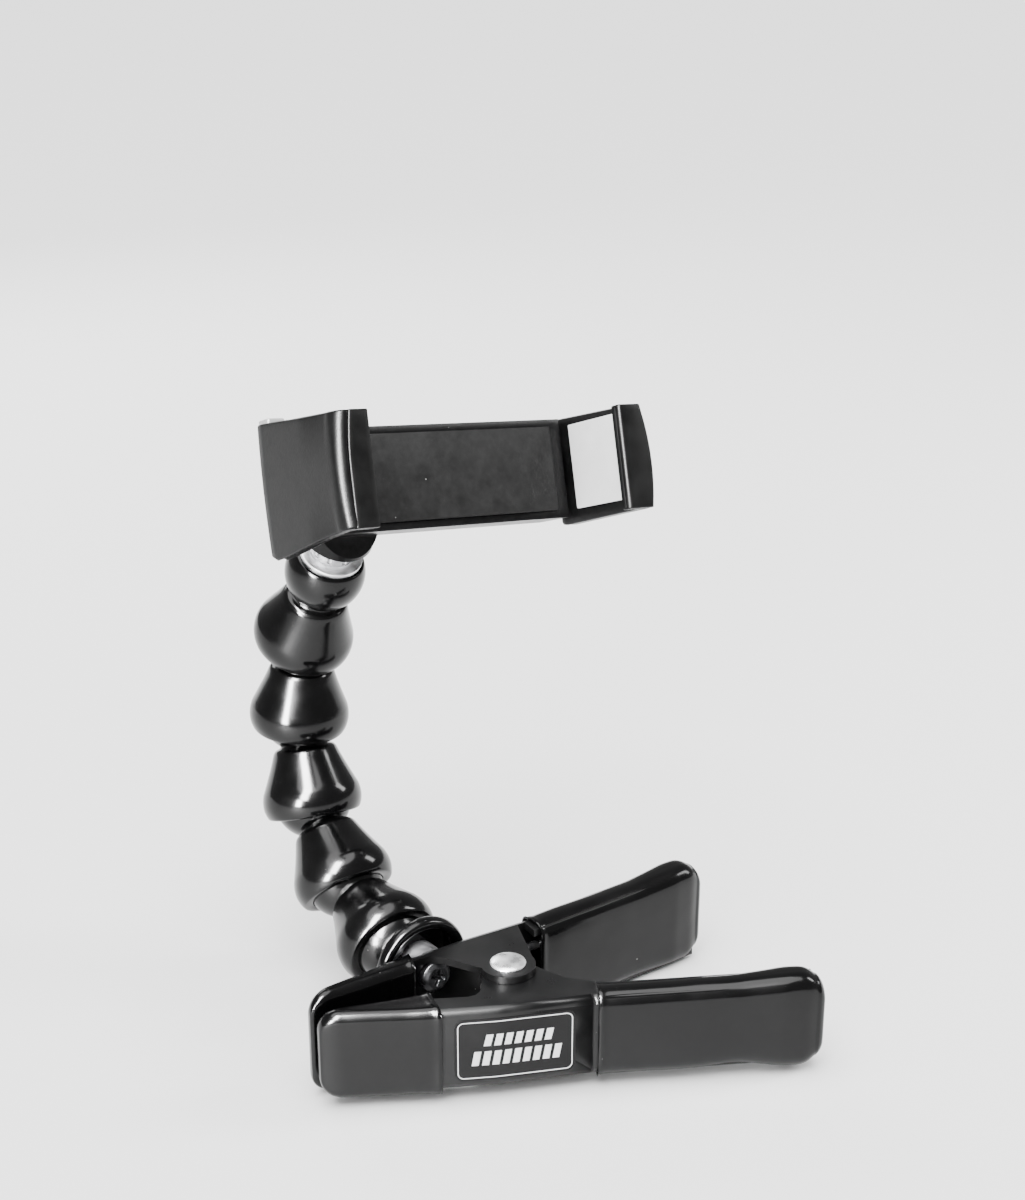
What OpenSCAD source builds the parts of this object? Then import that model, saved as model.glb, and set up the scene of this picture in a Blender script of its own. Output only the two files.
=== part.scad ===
// A spring clamp with a short ball-and-socket arm that carries a sprung
// phone holder. All lengths are in mm, all angles in degrees.

/* [Clamp steel] */
// Thickness of the pressed sheet of both channel halves
sheet = 1.5; // [1:0.1:2.5]
// Outer width of the rear channel, over both flanges
channel_w = 20.8; // [16:0.2:30]
// Free gap between the flanges of the two halves
ear_gap = 0.1; // [0.05:0.05:0.3]
// Depth of the flanges along the handles
handle_depth = 5.3; // [4:0.1:8]
// Reach of the handle steel from the pivot
handle_end = 54.6; // [45:0.2:90]
// Outer radius of the bends of the sheet
bend_r = 1.5; // [0.8:0.1:2]
// Radius of the pivot ears
ear_r = 5.5; // [5:0.1:7]

/* [Vinyl] */
// Thickness of the vinyl dip on tips and handles
vinyl = 1.0; // [0.6:0.1:1.6]
// Edge rounding of the tip caps
cap_edge = 1.9; // [1.2:0.1:2.4]
// Edge rounding of the handle grips
grip_edge = 2.5; // [1.6:0.1:3]
// Extra width of the grips at their closed ends
grip_flare = 0.8; // [0:0.1:2]

/* [Pivot] */
// Radius of the rivet shank
rivet_r = 2.5; // [2:0.1:3]
// Radius of the rivet heads
rivet_head_r = 3.6; // [3:0.1:5]
// Wire of the torsion spring
spring_wire = 1.8; // [1.2:0.1:2.4]
// Mean coil radius of the torsion spring
spring_coil_r = 4.6; // [4:0.1:6]
// Full turns of the torsion spring
spring_turns = 5; // [3:1:6]

/* [Arm] */
// Distance from socket centre to ball centre of one link
link_pitch = 19; // [16:0.5:24]
// Radius of the balls
ball_r = 8.4; // [6:0.1:9]
// Free play between ball and socket
ball_play = 0.08; // [0.03:0.01:0.15]
// Widest radius of a link
link_r = 10.9; // [9.5:0.1:12]
// Radius of the neck behind a ball
neck_r = 5.0; // [4:0.1:6]
// Radius of the bore through the links
link_bore = 3.6; // [2:0.1:4]
// Distance from clamp web to the first ball centre
base_reach = 16; // [13:0.5:22]

/* [Holder] */
// Distance between the inner faces of the two jaws
phone_w = 65.5; // [55:0.5:85]
// Height of the jaws at the front
jaw_h = 22.2; // [16:0.2:40]
// Thickness of the jaw walls
jaw_wall = 4; // [3:0.1:6]
// Depth of the phone space between lip and back pad
phone_d = 19.4; // [8:0.2:24]
// Depth of the housing behind the phone
housing_d = 10.5; // [10:0.5:18]
// Travel of the sliding jaw
jaw_travel = 18; // [8:1:25]
// Radius of the guide rods
rod_r = 1.5; // [1:0.1:2.5]

/* [Hidden] */
$fn = 48;
// shift of the pivot to the middle of the outline
home_x = 8.53;
home_y = 24.19;
z0r = vinyl;
z1r = z0r + channel_w;
z0f = z0r + sheet + ear_gap;
z1f = z1r - sheet - ear_gap;
eps = 0.01;

// outer line of a web in plan, from the tip to the handle end
// the rear handle bends off and ends a little nearer to the pivot
function web_line(bend, far) = [[-37.9, 3.43], [-17.5, 9.68], [-7, 12.3], [bend, 12.3 + (bend + 7) * tan(9.7)],
    [far, 12.3 + (bend + 7) * tan(9.7) + (far - bend) * tan(14.5)]];
bend_f = 12;
bend_r_x = 8.6;
web_f = web_line(bend_f, handle_end);
web_r = web_line(bend_r_x, handle_end - 4.4);
function unit(v) = v / norm(v);
function nrm(a, b) = [-(b[1] - a[1]), b[0] - a[0]] / norm(b - a);
// the same line moved outward by d
function moved(p, d) = [for (i = [0:len(p) - 1])
    let (na = i == 0 ? nrm(p[0], p[1]) : nrm(p[i - 1], p[i]),
         nb = i == len(p) - 1 ? na : nrm(p[i], p[i + 1]))
    p[i] + d * (na + nb) / (1 + na * nb)];
function rev(p) = [for (i = [len(p) - 1:-1:0]) p[i]];
// point of the web line at a given x, moved inward by d
function seg(x, w) = x < w[1][0] ? 0 : x < w[2][0] ? 1 : x < w[3][0] ? 2 : 3;
function web_y(x, d = 0, w = web_f) = let (i = seg(x, w), q = moved(w, -d))
    q[i][1] + (x - q[i][0]) * (q[i + 1][1] - q[i][1]) / (q[i + 1][0] - q[i][0]);

// inner edges of the flanges, from the tip to the handle end
function end_in(w) = [w[4][0] + sin(14.5) * handle_depth, w[4][1] - cos(14.5) * handle_depth];
front_edge = [[-37.9, 1.5], [-17.5, 4.3], [-10.6, 6.2], [-9.1, 6.1],
              [-7.9, 5.2], [-7.25, 4.0], [-5.9, 0.85], [-5.2, 0],
              [5.4, 0], [5.9, 0.9], [6.8, 2.8], [9.85, 7.05],
              [13.3, 9.5], [16.5, web_y(16.5, handle_depth)], end_in(web_f)];
rear_edge = [[-37.9, 1.7], [-17.5, 7.4], [-13.5, 8.15], [-11, 6.3],
             [-8.7, 3.8], [-5.3, 0], [-5, -1], [5.2, -1.2],
             [7.2, web_y(7.2, sheet, web_r) - 0.15], [8.9, web_y(8.9, sheet, web_r) - 0.15],
             [9.5, web_y(9.5, handle_depth, web_r)], end_in(web_r)];

// facetted round for the outer edge between two plan points at height z
module edge_cut(a, b, z, up, r) {
    d = 0.6;
    translate([a[0], a[1], z])
    rotate([0, 0, atan2(b[1] - a[1], b[0] - a[0])])
    translate([-d, 0, 0]) rotate([90, 0, 90])
    linear_extrude(norm(b - a) + 2 * d)
    polygon(concat([[1, up], [1, -up * r], [0.001, -up * r]],
        [for (t = [30, 60]) [-r + r * cos(t) * 1.0, -up * (r - r * sin(t))]],
        [[-r, 0.001 * up], [-r, up]]));
}

// one pressed channel half, its outer face toward +Y
module channel(web, zb, zt, edge, bore) {
    difference() {
        union() {
            translate([0, 0, zb]) linear_extrude(zt - zb)
                polygon(concat(web, rev(moved(web, -sheet))));
            for (z = [zb, zt - sheet]) translate([0, 0, z]) {
                linear_extrude(sheet) polygon(concat(web, rev(edge)));
                cylinder(r = ear_r, h = sheet);
            }
        }
        for (i = [0:len(web) - 2]) {
            edge_cut(web[i], web[i + 1], zt, 1, bend_r);
            edge_cut(web[i], web[i + 1], zb, -1, bend_r);
        }
        translate([0, 0, zb - 1]) cylinder(r = bore, h = zt - zb + 2);
    }
}

// closed envelope of a channel between two plan stations
module envelope(web, zb, zt, edge, xa, xb, grow = 0) {
    intersection() {
        translate([0, 0, zb - grow]) linear_extrude(zt - zb + 2 * grow)
            polygon(concat(moved(web, grow), rev(edge)));
        translate([xa, -40, -5]) cube([xb - xa, 100, 60]);
    }
}

// rounded block spanned by plan corners; each corner is [x, y, extra width]
module pillow(corners, zb, zt, r) {
    hull() for (c = corners) for (z = [zb - c[2] + r, zt + c[2] - r])
        translate([c[0], c[1], z]) sphere(r, $fn = 24);
}

seam_x = -17.5;
tip_x = -40.3;
// closed tip cap over one channel end
module tip_cap(zb, zt, edge, seam_in) {
    r = cap_edge;
    o = moved(web_f, vinyl - r);
    difference() {
        intersection() {
            pillow([[tip_x + r, 0.15 + r, -0.8], [tip_x + r + 0.4, o[0][1] - 0.3, -0.8], [-36, 0.15 + r + 0.3, 0],
                    [-30, o[0][1] + (9.5) * 0.3065, 0], [-12, o[1][1] + 5.5 * 0.3065, 0],
                    [-12, seam_in - vinyl + r + 5.5 * 0.17, 0]],
                   zb - vinyl, zt + vinyl, r);
            translate([-60, -10, -5]) cube([60 + seam_x, 40, 40]);
        }
        envelope(web_f, zb - 0.02, zt + 0.02, edge, -60, -5, 0.02);
    }
}

// closed sleeve over one handle; stations are [along, side swell, height swell]
module grip(web, start, zb, zt, fl_b, fl_t) {
    r = grip_edge;
    len = norm(web[4] - web[3]);
    le = len + 2.0;
    st = [[-4, 0, 0], [le - 18, 0, 0], [le - 9, 0.5, 0.8], [le - 3.4, 0.3, 1], [le - r, -0.9, -0.2]];
    translate([web[3][0], web[3][1], 0]) rotate([0, 0, 14.5]) difference() {
        intersection() {
            hull() for (q = st) for (v = [vinyl - r + q[1], r - vinyl - handle_depth - q[1]])
                for (z = [zb - vinyl - q[2] * fl_b + r, zt + vinyl + q[2] * fl_t - r])
                    translate([q[0], v, z]) sphere(r, $fn = 24);
            translate([start, -20, -5]) cube([90, 40, 40]);
        }
        translate([-9, -handle_depth - 0.02, zb - 0.02])
            cube([9 + len + 0.02, handle_depth + 0.04, zt - zb + 0.04]);
    }
}

module rear_half() color([0.1, 0.1, 0.11]) difference() {
    channel(web_r, z0r, z1r, rear_edge, rivet_r);
    at_base() translate([0, 0, -sheet - 1]) cylinder(r = screw_r + 0.1, h = sheet + 2);
}
module front_half() color([0.1, 0.1, 0.11])
    mirror([0, 1, 0]) channel(web_f, z0f, z1f, front_edge, rivet_r + 0.05);
module rear_jaw_cap() color([0.03, 0.03, 0.03]) tip_cap(z0r, z1r, rear_edge, 7.4);
module front_jaw_cap() color([0.03, 0.03, 0.03])
    mirror([0, 1, 0]) tip_cap(z0f, z1f, front_edge, 4.3);
module rear_grip() color([0.03, 0.03, 0.03]) grip(web_r, 0.9, z0r, z1r, 0, grip_flare);
module front_grip() color([0.03, 0.03, 0.03])
    mirror([0, 1, 0]) grip(web_f, 0.7, z0f, z1f, grip_flare, grip_flare);

module pivot_rivet() color([0.75, 0.75, 0.76]) {
    cylinder_z0 = z0r - 0.75;
    translate([0, 0, z0r - eps]) cylinder(r = rivet_r, h = channel_w + 2 * eps);
    // domed top head and low bottom head
    intersection() {
        translate([0, 0, z1r]) cylinder(r = rivet_head_r, h = 2);
        translate([0, 0, z1r + 0.9 - 9]) sphere(9);
    }
    translate([0, 0, cylinder_z0]) cylinder(r1 = rivet_head_r - 0.4, r2 = rivet_head_r, h = 0.75);
}

// round wire swept along a list of points; up is never along the path
module sweep(path, r, up, n = 12) {
    m = len(path);
    pts = [for (i = [0:m - 1])
        let (t = unit(path[min(i + 1, m - 1)] - path[max(i - 1, 0)]),
             a = unit(cross(up, t)), b = cross(t, a))
        for (k = [0:n - 1]) path[i] + r * (cos(360 * k / n) * a + sin(360 * k / n) * b)];
    side = [for (i = [0:m - 2]) for (k = [0:n - 1])
        let (p = i * n + k, q = i * n + (k + 1) % n)
        each [[p, q, p + n], [q, q + n, p + n]]];
    ends = [[for (k = [n - 1:-1:0]) k], [for (k = [0:n - 1]) (m - 1) * n + k]];
    polyhedron(pts, [for (f = concat(side, ends)) rev(f)], convexity = 10);
}

leg_x = 25;
leg_y = web_y(leg_x, sheet) - spring_wire / 2 - 0.35;
// bend of the leg where it enters the channel of the handle
knee = [7.5, web_y(7.5, sheet) - spring_wire / 2 - 0.55];
leg_a = atan2(knee[1], knee[0]) + acos(spring_coil_r / norm(knee));
leg_u = unit([leg_x, leg_y] - knee);
leg_in = unit(knee - spring_coil_r * [cos(leg_a), sin(leg_a)]);
knee_pts = [knee + 1.2 * leg_u, knee + 0.3 * (leg_u - leg_in), knee - 1.2 * leg_in];
module torsion_spring() color([0.5, 0.5, 0.5]) {
    zc = (z0f + z1f) / 2;
    sweep_a = 360 - 2 * leg_a + 360 * spring_turns;
    n = 22 * (spring_turns + 1);
    pitch = spring_wire + 0.14;
    zt = zc + pitch * sweep_a / 720;
    ze = zt - pitch * sweep_a / 360;
    path = concat([[leg_x, leg_y, zt]], [for (k = knee_pts) [k[0], k[1], zt]],
        [for (i = [0:n]) let (a = leg_a + sweep_a * i / n)
            [spring_coil_r * cos(a), spring_coil_r * sin(a), zt - pitch * sweep_a * i / n / 360]],
        [for (i = [2:-1:0]) [knee_pts[i][0], -knee_pts[i][1], ze]], [[leg_x, -leg_y, ze]]);
    sweep(path, spring_wire / 2, [0, 0, 1]);
}

// plate on the front web between the cap and the grip
module web_label() color([0.15, 0.15, 0.16]) mirror([0, 1, 0])
    translate([0, 0, (z0f + z1f) / 2 - 6.4]) linear_extrude(12.8)
        polygon(concat([for (x = [-14, -7, 9.4]) [x, web_y(x) + 0.02]],
            [for (x = [9.4, -7, -14]) [x, web_y(x) + 0.18]]));

// frame of the arm: base seat on the rear web, then one frame per link
seat_x = -12.9;
seat_z = 16.8;
seat_a = 90 + atan2(12.3 - 9.68, 10.5);
screw_r = 2;
base_rim = 1.35;
link_dir = [[seat_a, 0], [102, 17], [100, 42.5], [92, 68], [-37, 84.7], [-73, 60.5]];
function dirv(i) = [cos(link_dir[i][1]) * cos(link_dir[i][0]),
                    cos(link_dir[i][1]) * sin(link_dir[i][0]), sin(link_dir[i][1])];
function joint_c(i) = i == 0
    ? [seat_x, web_y(seat_x), seat_z] + base_reach * dirv(0)
    : joint_c(i - 1) + link_pitch * dirv(i);
module at_base() translate([seat_x, web_y(seat_x), seat_z]) rotate([0, 90, seat_a]) children();
module at_link(i) translate(joint_c(i - 1))
    rotate([0, 90 - link_dir[i][1], link_dir[i][0]]) children();

socket_r = ball_r + ball_play;
mouth_z = -3.1;
ball_end = 4.6;
// solid of revolution with a ball at height p
module ball_end_solid(p) {
    difference() {
        translate([0, 0, p]) sphere(ball_r, $fn = 64);
        translate([0, 0, p + ball_end]) cylinder(r = 12, h = 12);
    }
    translate([0, 0, p - 8]) cylinder(r = neck_r, h = 5);
}
module link(i) color([0.02, 0.02, 0.02]) at_link(i) difference() {
    union() {
        rotate_extrude($fn = 64) polygon([[0, mouth_z], [8.9, mouth_z], [9.3, mouth_z + 0.4],
            [link_r - 0.4, -0.9], [link_r, -0.2], [link_r, 0.5], [link_r - 0.3, 1.4],
            [7.5, link_pitch - 8.9], [7.0, link_pitch - 8.3],
            [neck_r, link_pitch - 7.4], [0, link_pitch - 7.4]]);
        ball_end_solid(link_pitch);
    }
    sphere(socket_r, $fn = 64);
    cylinder(r = link_bore, h = link_pitch + 10);
    translate([0, 0, link_pitch + ball_end - 1.2]) cylinder(r1 = link_bore, r2 = link_bore + 1.4, h = 1.4);
}
module link_1() link(1);
module link_2() link(2);
module link_3() link(3);
module link_4() link(4);
module link_5() link(5);

module arm_base() color([0.02, 0.02, 0.02]) at_base() difference() {
    union() {
        rotate_extrude($fn = 64) polygon([[0, base_rim], [9.7, base_rim], [10.2, 1.9],
            [10.5, 3.0], [10.2, 3.8], [7.5, base_reach - 8.9], [7.0, base_reach - 8.3],
            [neck_r, base_reach - 7.4], [0, base_reach - 7.4]]);
        ball_end_solid(base_reach);
    }
    translate([0, 0, 0]) cylinder(r = 8.4, h = 4.4);
    cylinder(r = screw_r + 0.05, h = 20);
    translate([0, 0, 12]) cylinder(r = link_bore, h = 20);
}
// standoff between web and base fitting
module base_spacer() color([0.6, 0.6, 0.6]) at_base() difference() {
    cylinder(r = 4.6, h = 4.4);
    translate([0, 0, -1]) cylinder(r = screw_r + 0.1, h = 7);
}
// pan head screw with a cross recess, from inside the channel
module base_screw() color([0.2, 0.2, 0.2]) at_base() difference() {
    union() {
        translate([0, 0, -sheet - 1.3]) cylinder(r = 3.3, h = 1.3);
        translate([0, 0, -sheet - 2.0]) cylinder(r1 = 2.3, r2 = 3.3, h = 0.7);
        translate([0, 0, -sheet - eps]) cylinder(r = screw_r, h = sheet + 11);
    }
    for (a = [20, 110]) translate([0, 0, -sheet - 2.3]) rotate([0, 0, a])
        translate([-1.7, -0.35, 0]) cube([3.4, 0.7, 1.5]);
}

// end hardware in the frame of the last ball
module at_end() at_link(5) translate([0, 0, link_pitch]) children();
washer_t = 1.0;
collar_t = 4.6;
module end_washer() color([0.85, 0.85, 0.86]) at_end() translate([0, 0, ball_end])
    difference() {
        cylinder(r = 6.6, h = washer_t);
        translate([0, 0, -1]) cylinder(r = 3.1, h = 4);
    }
module end_collar() color([0.6, 0.6, 0.62]) at_end()
    translate([0, 0, ball_end + washer_t + 0.03]) difference() {
        union() {
            cylinder(r1 = 4.2, r2 = 4.6, h = 0.4);
            translate([0, 0, 0.4]) cylinder(r = 4.6, h = collar_t - 0.8);
            translate([0, 0, collar_t - 0.4]) cylinder(r1 = 4.6, r2 = 4.2, h = 0.4);
        }
        translate([0, 0, -1]) cylinder(r = 3.1, h = 8);
        for (a = [0:40:320]) rotate([0, 0, a]) translate([4.9, 0, 0.8]) cylinder(r = 0.6, h = 2.8, $fn = 16);
    }
boss_z = ball_end + washer_t + collar_t + 0.13;
stud_r = 3.0;
module mount_stud() color([0.7, 0.7, 0.72]) at_end() {
    // shoulder screw: head inside the ball, thread into the boss
    translate([0, 0, ball_end - 3.5]) cylinder(r = 2.9, h = 3.5 + washer_t + collar_t + 5.2);
    translate([0, 0, ball_end + washer_t + collar_t + 5.1]) cylinder(r1 = 2.9, r2 = 2.3, h = 0.6);
}

// frame of the holder: x right, y back, z up, origin mid screen
holder_o = [3.11, 29.21, 115.46];
module at_holder() translate(holder_o)
    rotate([0, 0, 16.2]) rotate([-21.05, 0, 0]) rotate([0, 7.5, 0]) children();
hx = 4.4;
xl = hx - phone_w / 2;
xr = hx + phone_w / 2;
ya = -6;
yb = ya + 2.6;
yback = yb + phone_d;
yh = yback + 1;
yend = yh + housing_d;
yj = 22.5;
jz = 0.4;
z_lo = jz - jaw_h / 2;
z_hi = jz + jaw_h / 2;

// wedge outline of a jaw seen from the side, extruded over x
module side_wedge(xa, xb, drop) {
    translate([xa, 0, 0]) rotate([90, 0, 90]) linear_extrude(xb - xa)
        polygon([[ya - 1, z_lo - 0.1], [yb, z_lo - 0.3], [yj + 1, z_lo - drop], [yj + 1, z_hi + drop * 0.5],
                 [yb, z_hi + 0.2], [ya - 1, z_hi]]);
}
// plan outline of the left jaw with wall, lip and rounded front corner
module jaw_plan(wall, lip) {
    difference() {
        union() {
            translate([0, ya]) square([wall, yj - ya]);
            translate([0, ya + 1.3]) square([lip, 1.3]);
            translate([0, ya]) square([3.7, 2.6]);
            // fillet inside the lip
            translate([wall - eps, yb - eps]) difference() {
                square(1.2);
                translate([1.2, 1.2]) circle(1.2);
            }
        }
        translate([-1, ya - 1]) difference() {
            square([3.8, 3.8]);
            translate([3.8, 3.8]) circle(2.8);
        }
    }
}
lip_len = 7.6;
module left_jaw_solid() {
    intersection() {
        translate([xl - jaw_wall, 0, z_lo - 5]) linear_extrude(jaw_h + 10)
            jaw_plan(jaw_wall - 0.8, lip_len);
        side_wedge(xl - jaw_wall - 1, xl + 8, 3.2);
        // gently bowed outer face
        translate([xl - jaw_wall + 150, 60, jz]) rotate([90, 0, 0]) cylinder(r = 150, h = 120, $fn = 360);
    }
}

cav_l = xl + 1.5;
cav_r = xr - 4;
rib_x = 12;
rod_y = yh + 4.9;
rod_z = 6.3;
block_x = cav_l + 0.3;
block_l = 12;
house_r = xr - 1.1;
module holder_body() color([0.07, 0.07, 0.075]) {
    difference() {
        union() {
            at_holder() {
                left_jaw_solid();
                difference() {
                    translate([xl - 1.2, yh, z_lo + 0.6]) cube([house_r - xl + 1.2, housing_d, jaw_h - 1.2]);
                    // open back cavity for the slide
                    translate([cav_l, yh + 2, jz - 9]) cube([cav_r - cav_l, housing_d, 18]);
                }
                // rib that holds the rods and stops the springs
                difference() {
                    translate([rib_x, yh + 1, jz - 9.2]) cube([2.4, housing_d - 3.1, 18.4]);
                    translate([rib_x - 1, yh + 1.7, jz - 4.1]) cube([5, housing_d, 8.2]);
                }
            }
            boss();
        }
        at_end() translate([0, 0, boss_z - 1]) cylinder(r = 2.92, h = 8);
        at_holder() {
            // slot for the tongue of the sliding jaw
            translate([cav_r - 2, yh + 1.7, jz - 4.1]) cube([20, 6.4, 8.2]);
            translate([cav_l, yh + 2, jz - 9]) cube([rib_x - cav_l, housing_d - 2 + eps, 18]);
            // bores for the rods
            for (s = [-1, 1]) translate([cav_l - 2, rod_y, jz + s * rod_z]) rotate([0, 90, 0])
                cylinder(r = rod_r + 0.01, h = rib_x + 2.4 - cav_l + 2.01);
            // seat of the cover
            translate([cav_l - 1, yend - 1.8, jz - 10]) cube([cav_r - cav_l + 2, 3, 20]);
            // seat of the back pad
            translate([xl + 6, yh - 1, jz - 9]) cube([house_r - xl - 9, 1.4, 18]);
            // seat of the left pad
            translate([xl - 0.8 - 0.2, yb + 1.2, jz - 9]) cube([1.4, 17.8, 18]);
            // screw bores in the corner pillars
        }
    }
}
// angled boss toward the last ball, inside the outline of the housing
module boss() {
    intersection() {
        at_end() translate([0, 0, boss_z]) {
            cylinder(r = 7.4, h = 0.8);
            translate([0, 0, 0.79]) cylinder(r1 = 7.4, r2 = 9.4, h = 22);
        }
        at_holder() translate([xl - 3.2, yend - 2.2, -40]) cube([60, 30, 80]);
    }
}

module housing_cover() color([0.07, 0.07, 0.075]) difference() {
    at_holder() difference() {
        translate([cav_l - 0.95, yend - 1.75, jz - 9.95]) cube([cav_r - cav_l + 1.9, 1.75, 19.9]);
        for (p = cover_pts) translate([p[0], yend - 4, p[1]]) rotate([-90, 0, 0]) cylinder(r = 1.25, h = 8);
    }
    at_end() translate([0, 0, boss_z - 1]) cylinder(r = 9.6, h = 30);
}
cover_pts = [[cav_r - 3, jz + 7], [cav_r - 3, jz - 7], [rib_x + 6, jz + 7]];
module cover_screws() color([0.5, 0.5, 0.5]) at_holder() for (p = cover_pts)
    translate([p[0], yend, p[1]]) rotate([90, 0, 0]) difference() {
        union() {
            translate([0, 0, -0.9]) cylinder(r1 = 1.8, r2 = 2.1, h = 0.9);
            translate([0, 0, -eps]) cylinder(r = 1.2, h = 1.75);
        }
        for (a = [0, 90]) rotate([0, 0, a]) translate([-1.1, -0.2, -1.2]) cube([2.2, 0.4, 0.9]);
    }

module pad_plate(x, t) translate([x, yb + 1.3, jz - 8.9]) cube([t, 17.6, 17.8]);
module left_pad() color([0.7, 0.7, 0.7]) at_holder() pad_plate(xl - 0.75, 0.75);
module back_pad() color([0.12, 0.12, 0.12]) at_holder()
    translate([xl + 6.1, yback, jz - 8.9]) cube([house_r - xl - 9.2, 1.3, 17.8]);
module lip_cover_left() color([0.05, 0.05, 0.05]) at_holder() intersection() {
    translate([xl - jaw_wall + 4.0, ya, z_lo - 2]) cube([3.6, 1.28, jaw_h + 4]);
    side_wedge(xl - 8, xl + 8, 3.2);
}
module side_tab() color([0.7, 0.7, 0.7]) at_holder()
    translate([xl - 3.1, yj + 0.04, z_hi - 0.6]) cube([3.8, 3, 2.9]);

// sliding jaw: wall, lip, tongue and the block on the rods
module right_jaw() color([0.07, 0.07, 0.075]) at_holder() difference() {
    union() {
        intersection() {
            translate([xr + jaw_wall, 0, z_lo - 5]) mirror([1, 0, 0]) linear_extrude(jaw_h + 10)
                jaw_plan(jaw_wall - 0.8, lip_len - 0.7);
            side_wedge(xr - 8, xr + jaw_wall + 1, 0.9);
            translate([xr + jaw_wall + 1.2 - 40, 60, jz - 1.5]) rotate([90, 0, 0]) cylinder(r = 40, h = 120, $fn = 180);
        }
        translate([block_x + 1, yh + 2, jz - 3.8]) cube([xr + 1.4 - block_x, 5.8, 7.6]);
        translate([block_x, yh + 2.3, jz - 8.7]) cube([block_l, 5.5, 17.4]);
    }
    for (s = [-1, 1]) translate([block_x - 1, rod_y, jz + s * rod_z]) rotate([0, 90, 0])
        cylinder(r = rod_r + 0.06, h = block_l + 2);
    translate([xr - 0.4, yb + 1.2, jz - 9]) cube([1.4, 17.8, 18]);
}
module right_pad() color([0.7, 0.7, 0.7]) at_holder() difference() {
    pad_plate(xr + 0.05, 0.9);
    translate([xr - 1, yh + 0.8, jz - 4]) cube([4, 7.6, 8]);
}
module lip_cover_right() color([0.05, 0.05, 0.05]) at_holder() intersection() {
    translate([xr + jaw_wall - lip_len + 0.7, ya, z_lo - 2]) cube([2.9, 1.28, jaw_h + 4]);
    side_wedge(xr - 8, xr + 8, 0.9);
}
module rod(s) color([0.8, 0.8, 0.8]) at_holder() translate([cav_l - 1.9, rod_y, jz + s * rod_z])
    rotate([0, 90, 0]) cylinder(r = rod_r, h = rib_x + 2.3 - cav_l + 1.9);
module guide_rod_upper() rod(1);
module guide_rod_lower() rod(-1);
module jaw_spring(s) color([0.6, 0.6, 0.6]) at_holder() {
    xa = block_x + block_l + 0.6;
    xb = rib_x - 0.6;
    turns = 9;
    n = 14 * turns;
    sweep([for (i = [0:n]) [xa + (xb - xa) * i / n,
        rod_y + 2.1 * cos(360 * turns * i / n), jz + s * rod_z + 2.1 * sin(360 * turns * i / n)]],
        0.35, [1, 0, 0], 8);
}
module jaw_spring_upper() jaw_spring(1);
module jaw_spring_lower() jaw_spring(-1);

translate([-home_x, -home_y, 0]) {
    rear_half();
    front_half();
    rear_jaw_cap();
    front_jaw_cap();
    rear_grip();
    front_grip();
    pivot_rivet();
    torsion_spring();
    web_label();
    arm_base();
    base_spacer();
    base_screw();
    link_1();
    link_2();
    link_3();
    link_4();
    link_5();
    end_washer();
    end_collar();
    mount_stud();
    holder_body();
    housing_cover();
    cover_screws();
    left_pad();
    back_pad();
    lip_cover_left();
    side_tab();
    right_jaw();
    right_pad();
    lip_cover_right();
    guide_rod_upper();
    guide_rod_lower();
    jaw_spring_upper();
    jaw_spring_lower();
}
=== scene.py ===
import math

import bmesh
import bpy
import numpy as np
from mathutils import Matrix, Vector, noise


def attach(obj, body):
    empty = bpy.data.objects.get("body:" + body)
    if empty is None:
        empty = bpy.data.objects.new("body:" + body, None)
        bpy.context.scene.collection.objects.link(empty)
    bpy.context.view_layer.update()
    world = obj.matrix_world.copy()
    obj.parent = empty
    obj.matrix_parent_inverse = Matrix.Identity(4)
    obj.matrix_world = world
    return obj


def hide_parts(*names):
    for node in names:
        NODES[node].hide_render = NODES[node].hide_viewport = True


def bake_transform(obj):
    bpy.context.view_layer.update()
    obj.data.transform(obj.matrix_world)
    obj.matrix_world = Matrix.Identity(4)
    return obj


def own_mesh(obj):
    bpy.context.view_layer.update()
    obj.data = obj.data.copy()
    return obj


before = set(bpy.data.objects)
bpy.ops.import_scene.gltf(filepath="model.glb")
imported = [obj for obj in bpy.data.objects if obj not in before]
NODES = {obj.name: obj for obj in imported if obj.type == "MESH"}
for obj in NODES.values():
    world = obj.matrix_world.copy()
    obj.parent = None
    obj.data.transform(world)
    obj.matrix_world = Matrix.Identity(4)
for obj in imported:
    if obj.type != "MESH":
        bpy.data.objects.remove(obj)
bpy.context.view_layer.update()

# Clamp phone mount: spring clamp, ball-and-socket arm, sliding-jaw phone holder.
# Lengths are millimetres in the pivot frame unless a comment says otherwise: the
# rivet's axis is x = y = 0 and z points up from the floor.
HOME = Vector((8.53, 24.19, 0.0))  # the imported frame's origin, in the pivot frame
PIV = Matrix.Scale(0.001, 4) @ Matrix.Translation(-HOME)
HERE = Matrix.Identity(4)
MIRROR_Y = Matrix.Scale(-1, 4, (0, 1, 0))
rad = math.radians


def rot_z(degrees):
    return Matrix.Rotation(rad(degrees), 4, "Z")


# ---------- materials ----------
def noise_value(tree, coords, scale, detail):
    node = tree.nodes.new("ShaderNodeTexNoise")
    node.inputs["Scale"].default_value = scale
    node.inputs["Detail"].default_value = detail
    node.inputs["Roughness"].default_value = 0.5
    tree.links.new(coords, node.inputs["Vector"])
    return node.outputs["Fac"]


def remap(tree, value, lo, hi, to_lo, to_hi):
    node = tree.nodes.new("ShaderNodeMapRange")
    for socket, number in (("From Min", lo), ("From Max", hi), ("To Min", to_lo), ("To Max", to_hi)):
        node.inputs[socket].default_value = number
    tree.links.new(value, node.inputs["Value"])
    return node.outputs["Result"]


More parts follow.
